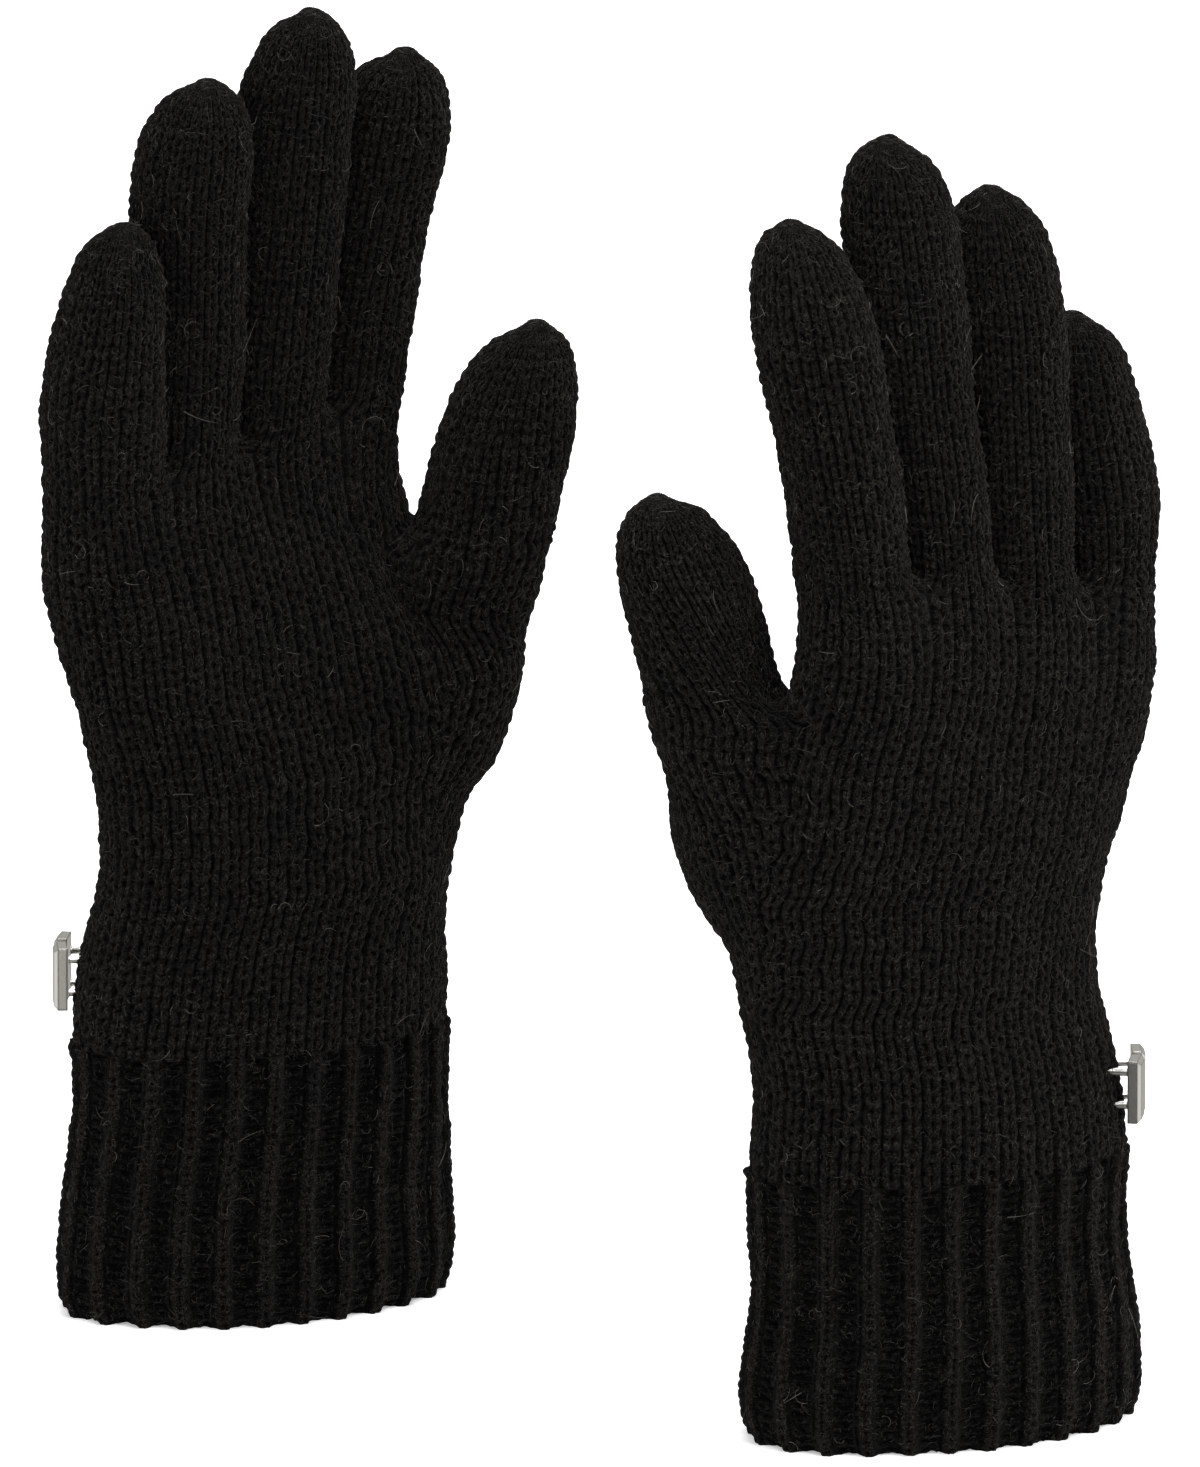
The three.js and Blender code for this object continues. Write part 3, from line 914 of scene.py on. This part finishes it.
def nodes_of(name):
    material = bpy.data.materials.new(name)
    material.use_nodes = True
    tree = material.node_tree
    return material, tree, tree.nodes["Principled BSDF"]


def rgba(colour):
    """A colour, or a number for a grey, as Blender wants it."""
    return (*colour, 1) if isinstance(colour, tuple) else (colour, colour, colour, 1)


def feed(socket, value):
    """Links an input to another node's output, or gives it a value."""
    if isinstance(value, bpy.types.NodeSocket):
        socket.id_data.links.new(value, socket)
    else:
        socket.default_value = rgba(value) if socket.type == "RGBA" else value


def set_inputs(node, **values):
    """Feeds a node's inputs. An underscore stands for a space in an input's name."""
    for name, value in values.items():
        feed(node.inputs[name.replace("_", " ")], value)


def add_node(tree, kind, **settings):
    """A new shader node. Settings with the name of an input feed it."""
    node = tree.nodes.new("ShaderNode" + kind)
    for name, value in settings.items():
        if name in node.inputs:
            feed(node.inputs[name], value)
        else:
            setattr(node, name, value)
    return node


def noise(tree, scale, detail, **place):
    node = add_node(tree, "TexNoise", Scale=scale, Detail=detail, Roughness=0.6, **place)
    return node.outputs["Fac"]


def ramp(tree, value, stops):
    node = add_node(tree, "ValToRGB", Fac=value)
    elements = node.color_ramp.elements
    for element, (position, colour) in zip(elements, (stops[0], stops[-1])):
        element.position = position
        element.color = rgba(colour)
    for position, colour in stops[1:-1]:
        elements.new(position).color = rgba(colour)
    return node.outputs["Color"]


def maths(tree, operation, a, b):
    node = add_node(tree, "Math", operation=operation)
    feed(node.inputs[0], a)
    feed(node.inputs[1], b)
    return node.outputs[0]


def mixed(tree, factor, a, b, blend="MIX"):
    node = add_node(tree, "Mix", data_type="RGBA", blend_type=blend)
    for socket, value in zip((node.inputs[0], node.inputs[6], node.inputs[7]), (factor, a, b)):
        feed(socket, value)
    return node.outputs[2]


def tinted(tree, *colours):
    """The product of colours."""
    total = colours[0]
    for colour in colours[1:]:
        total = mixed(tree, 1.0, total, colour, "MULTIPLY")
    return total


def bumped(tree, shader, strength, distance, **inputs):
    """Gives a shader fine relief."""
    bump = add_node(tree, "Bump", Strength=strength, Distance=distance, **inputs)
    set_inputs(shader, Normal=bump.outputs["Normal"])


def wool_material():
    """Black woollen yarn, with painted shade that darkens it between the stitches, and paler olive
    fibres along each leg.
    """
    material, tree, shader = nodes_of("black_wool")
    relief, touch, yarn = (
        add_node(tree, "Attribute", attribute_name=name) for name in ("relief", "touch", "yarn")
    )
    stretched = add_node(tree, "VectorMath", operation="MULTIPLY")
    feed(stretched.inputs[0], yarn.outputs["Vector"])
    feed(stretched.inputs[1], (1.0, 3.4, 1.0))
    position = add_node(tree, "TexCoord").outputs["Object"]
    fibres = noise(tree, 1.9, 3, Vector=stretched.outputs[0])
    flecks = noise(tree, 2600, 2, Vector=position)
    patches = noise(tree, 90, 3, Vector=position)
    # Painted shade: the relief attribute darkens the yarn to near black in the gaps between the
    # legs, where shade falls. The crests keep the yarn's own colour.
    base = ramp(tree, relief.outputs["Fac"], [
        (0.0, 0.0006), (0.4, 0.0025), (1.0, (0.0081, 0.0079, 0.0076)),
    ])
    strands = ramp(tree, fibres, [
        (0.36, (0.25, 0.25, 0.28)), (0.5, 0.85), (0.66, (2.85, 2.8, 2.5)),
    ])
    fleck = ramp(tree, flecks, [
        (0.36, (0.3, 0.3, 0.34)), (0.5, (0.85, 0.85, 0.86)), (0.66, (2.65, 2.55, 2.25)),
    ])
    patch = ramp(tree, patches, [(0.3, (0.82, 0.83, 0.86)), (0.7, (1.2, 1.18, 1.1))])
    colour = tinted(tree, base, strands, fleck, patch)
    pale = tinted(tree, colour, (1.18, 1.16, 1.1))
    set_inputs(shader, Base_Color=mixed(tree, touch.outputs["Fac"], colour, pale), Roughness=0.95,
               Specular_IOR_Level=0.03, Sheen_Weight=0.03, Sheen_Roughness=0.3,
               Sheen_Tint=(0.94, 0.92, 0.88))
    coarse = maths(tree, "MULTIPLY", fibres, 0.6)
    height = maths(tree, "ADD", coarse, maths(tree, "MULTIPLY", flecks, 0.7))
    bumped(tree, shader, 0.9, 0.0006, Height=height)
    return material


def hair_material(name, colour):
    """Loose wool hairs: paler than the yarn because light passes through them."""
    material, _, shader = nodes_of(name)
    set_inputs(shader, Base_Color=colour, Roughness=0.8, Specular_IOR_Level=0.1)
    return material


def metal_material():
    """Polished silver-coloured metal with faint wiping marks, and painted dark reflections at its
    rounded edges.
    """
    material, tree, shader = nodes_of("polished_silver")
    rounded = add_node(tree, "Bevel", Radius=0.0006).outputs["Normal"]
    turn = add_node(tree, "VectorMath", operation="DOT_PRODUCT")
    feed(turn.inputs[0], rounded)
    feed(turn.inputs[1], add_node(tree, "NewGeometry").outputs["Normal"])
    # Painted reflection: the colour goes dark where the rounded normal turns from the face. It
    # stands in for the dark glove mirrored at the edges.
    shade = ramp(tree, turn.outputs["Value"], [
        (0.86, (0.2, 0.19, 0.18)), (0.99, (0.86, 0.85, 0.83)),
    ])
    marks = noise(tree, 700, 4)
    tint = ramp(tree, marks, [(0.3, 0.9), (0.7, 1.0)])
    rough = ramp(tree, marks, [(0.3, 0.06), (0.8, 0.17)])
    set_inputs(shader, Metallic=1, Base_Color=tinted(tree, shade, tint), Roughness=rough)
    bumped(tree, shader, 0.05, 0.0002, Height=marks, Normal=rounded)
    return material


def label_material():
    """Black satin ribbon with a fine weave."""
    material, tree, shader = nodes_of("label_satin")
    set_inputs(shader, Base_Color=(0.012, 0.012, 0.013), Roughness=0.45)
    weave = add_node(tree, "TexWave", Scale=900.0)
    bumped(tree, shader, 0.4, 0.0002, Height=weave.outputs["Fac"])
    return material


# Pieces

def hairs_from(roots, count, mean_length, radii, draw):
    """Corners and faces of curly hairs that grow out of the fabric, each a closed thin tube."""
    points, normals = roots
    picks = draw.integers(0, len(points), count)
    normal = normals[picks]
    side = np.cross(normal, draw.normal(size=(count, 3)))
    side /= np.linalg.norm(side, axis=1)[:, None]
    other = np.cross(normal, side)
    length = draw.gamma(4.0, mean_length / 4, count) + 0.4
    curl = draw.uniform(-2.6, 2.6, count)
    lift = draw.uniform(0.05, 0.75, count) ** 1.5
    heading = np.zeros(count)
    spine = [points[picks] - HAIR_ROOT * normal]
    for step in range(1, HAIR_STEPS):
        heading = heading + curl / HAIR_STEPS * 2
        rise = lift * (1 - 0.7 * step / HAIR_STEPS)
        stride = (length / HAIR_STEPS)[:, None]
        forward = np.cos(heading)[:, None] * side + np.sin(heading)[:, None] * other
        spine.append(spine[-1] + stride * (forward + rise[:, None] * normal))
    spine = np.array(spine)
    spine[..., 2] = np.maximum(spine[..., 2], FLOOR_CLEARANCE)
    radius = draw.uniform(*radii, count)
    corners = []
    for step in range(HAIR_STEPS):
        taper = 1 - 0.6 * step / (HAIR_STEPS - 1)
        for k in range(HAIR_SIDES):
            angle = 2 * np.pi * k / HAIR_SIDES
            ring = math.cos(angle) * normal + math.sin(angle) * other
            corners.append(spine[step] + ring * (radius * taper)[:, None])
    corners = np.array(corners).transpose(1, 0, 2).reshape(-1, 3)
    tube = []
    for low in range(0, HAIR_SIDES * (HAIR_STEPS - 1), HAIR_SIDES):
        for k in range(HAIR_SIDES):
            here, after = low + k, low + (k + 1) % HAIR_SIDES
            tube.append((here, after, after + HAIR_SIDES, here + HAIR_SIDES))
    per_hair = HAIR_SIDES * HAIR_STEPS
    first = (np.arange(count) * per_hair)[:, None, None]
    caps = np.array([(2, 1, 0), (per_hair - 3, per_hair - 2, per_hair - 1)])
    return corners, (np.array(tube) + first).reshape(-1, 4), (caps + first).reshape(-1, 3)


def hair_mesh(name, roots, stitches, draw):
    """Short fuzz all over a piece and a few long pale curls, which take the second material."""
    fuzz = hairs_from(roots, int(stitches * FUZZ_PER_STITCH), FUZZ_LENGTH, FUZZ_RADII, draw)
    curls = hairs_from(roots, int(stitches * CURLS_PER_STITCH), CURL_LENGTH, CURL_RADII, draw)
    faces = fuzz[1].tolist() + fuzz[2].tolist()
    few = len(faces)
    for part in curls[1:]:
        faces += (part + len(fuzz[0])).tolist()
    mesh = bpy.data.meshes.new(name)
    mesh.from_pydata(np.vstack([fuzz[0], curls[0]]) * MM, [], faces)
    mesh.polygons.foreach_set("material_index", [0] * few + [1] * (len(faces) - few))
    return mesh


def knot_mesh(name, centre, turn, draw):
    """The drawn-together yarn at a fingertip: two soft lumps, side by side."""
    work = bmesh.new()
    for shift, size in ((-0.8, 1.0), (0.85, 0.9)):
        made = bmesh.ops.create_icosphere(work, subdivisions=4, radius=size)
        for vertex in made["verts"]:
            vertex.co.x += shift
            vertex.co.z *= 0.95
    mesh = bpy.data.meshes.new(name)
    work.to_mesh(mesh)
    work.free()
    points = read_array(mesh.vertices, "co", np.float32, 3).astype(float)
    directions = points / np.linalg.norm(points, axis=1)[:, None]
    twist = np.arctan2(points[:, 1], points[:, 2])
    cords = np.abs(np.sin(1.5 * twist + 1.1 * points[:, 0]))
    lumps = 0.15 * smooth_noise(points, 2.2, int(draw.integers(99)))
    points += directions * (0.2 * cords + lumps)[:, None]
    store(mesh, "yarn", "FLOAT_VECTOR", points)
    # Painted shade: the relief darkens the grooves between the knot's cords.
    store(mesh, "relief", "FLOAT", 0.25 + 0.6 * cords)
    angle = draw.uniform(0, 3.1)
    points = points @ np.array(Matrix.Rotation(angle, 3, "Z")).T
    mesh.vertices.foreach_set("co", placed(points + centre, turn).astype(np.float32).ravel())
    mesh.shade_smooth()
    return mesh


def ride_finger(obj):
    """Bakes the piece's transform into its mesh. It isn't attached to the finger's body, and it
    doesn't bend.
    """
    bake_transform(obj)


def build_glove(glove, turn, fine, lining, materials, seed):
    draw = np.random.default_rng(seed)
    raised, depth, yarn = shaped(fine, seed)
    wool, *hair = materials
    for number, name in enumerate(PIECES):
        mesh = build_piece(name, (fine, raised, depth, yarn), lining, turn)
        knit = add_object(f"{glove}_{name}_knit", mesh, wool)
        share = fine.faces[fine.info["piece"] == number].ravel()
        stitches = (lining.info["piece"] == number).sum() / 4
        roots = raised[share] * turn + ORIGIN * turn, fine.normals[share] * turn
        hairs = add_object(f"{glove}_{name}_hairs", hair_mesh(name, roots, stitches, draw), *hair)
        for piece in (knit, hairs):
            if name in BODY_OF:
                ride_finger(piece)
            else:
                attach(piece, glove)
        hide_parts(*[f"{glove}_{node}" for node in NODES_OF[name]])
    for name, outlines in [("thumb", THUMB_OUTLINES), *FINGER_OUTLINES.items()]:
        centre = fingertip(outlines) - (0, 0, KNOT_DEPTH)
        knot = add_object(f"{glove}_{name}_knot", knot_mesh(name, centre, turn, draw), wool)
        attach(knot, f"{glove}_{BODY_OF[name]}")
        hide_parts(f"{glove}_{name}_tip_knot")


def finish_cad_pieces(metal, label):
    """The CAD's metal and label pieces keep their shape and take finer materials."""
    for obj in bpy.data.objects:
        if "badge" in obj.name or "care_label" in obj.name:
            obj.data.materials.clear()
            obj.data.materials.append(label if "label" in obj.name else metal)


def add_light(name, place, size, power):
    light = bpy.data.lights.new(name, "AREA")
    light.energy = power
    light.shape = "RECTANGLE"
    light.size, light.size_y = size
    obj = add_object(name, light)
    obj.location = place
    obj.rotation_euler = (Vector(LIGHTS_AIM) - Vector(place)).to_track_quat("-Z", "Y").to_euler()


def build_room():
    """A white room. In mirrors it has darker and paler walls, so that the badge shows its edges."""
    world = bpy.data.worlds.new("studio")
    bpy.context.scene.world = world
    world.use_nodes = True
    tree = world.node_tree
    path = add_node(tree, "LightPath")
    unseen = maths(tree, "SUBTRACT", 1.0, path.outputs["Is Camera Ray"])
    strength = maths(tree, "ADD", maths(tree, "MULTIPLY", unseen, ROOM_LIGHT - 1), 1.0)
    direction = add_node(tree, "TexCoord").outputs["Generated"]
    depth = add_node(tree, "SeparateXYZ", Vector=direction).outputs["Y"]
    from_front = maths(tree, "ADD", maths(tree, "MULTIPLY", depth, 0.5), 0.5)
    walls = ramp(tree, from_front, [
        (0.02, (0.72, 0.7, 0.64)), (0.035, 0.03), (0.12, 0.03), (0.2, (0.9, 0.89, 0.86)),
        (0.62, (1.2, 1.17, 1.1)), (0.72, 0.3), (0.84, (0.95, 0.93, 0.88)),
        (0.97, (0.55, 0.54, 0.51)),
    ])
    seen = mixed(tree, path.outputs["Is Glossy Ray"], 1, walls)
    set_inputs(tree.nodes["Background"], Color=seen, Strength=strength)


def build_studio():
    bpy.context.scene.view_settings.view_transform = "Standard"
    build_room()
    mesh = bpy.data.meshes.new("floor")
    low, high = -FLOOR_REACH, FLOOR_REACH
    corners = [(low, low, 0), (high, low, 0), (high, high, 0), (low, high, 0)]
    mesh.from_pydata(corners, [], [(0, 1, 2, 3)])
    material, _, shader = nodes_of("studio_white")
    set_inputs(shader, Base_Color=0.95, Roughness=0.9, Emission_Color=1, Emission_Strength=0.35)
    floor = add_object("floor", mesh, material)
    floor.visible_glossy = False
    add_light("top", (0.3, -0.6, 2.4), (1.6, 1.6), 52)
    add_light("fill", (1.8, -1.6, 1.2), (1.4, 1.4), 16)
    add_light("rim", (0.4, 1.8, 1.6), (2.0, 1.0), 24)


def build_camera():
    camera = bpy.data.cameras.new("camera")
    camera.sensor_fit = "VERTICAL"
    camera.sensor_height = 24
    camera.lens = camera.sensor_height * CAMERA_DISTANCE / FRAME_HEIGHT
    camera.clip_end = 100
    obj = add_object("camera", camera)
    back = Vector((0, -math.cos(CAMERA_ELEVATION), math.sin(CAMERA_ELEVATION)))
    obj.location = Vector(CAMERA_AIM) + CAMERA_DISTANCE * back
    obj.rotation_euler = (-back).to_track_quat("-Z", "Y").to_euler()
    bpy.context.scene.camera = obj


net = build_net()
coarse = coarse_mesh(net, relax(net))
fine = Fine(subdivided(coarse, SUBDIVISIONS))
lining = Fine(subdivided(coarse, 1))
materials = (
    wool_material(),
    hair_material("wool_fuzz", (0.084, 0.081, 0.073)),
    hair_material("wool_curl", (0.2, 0.188, 0.16)),
)
build_glove("glove_a", np.ones(3), fine, lining, materials, 11)
build_glove("glove_b", HALF_TURN, fine, lining, materials, 23)
finish_cad_pieces(metal_material(), label_material())
build_studio()
build_camera()
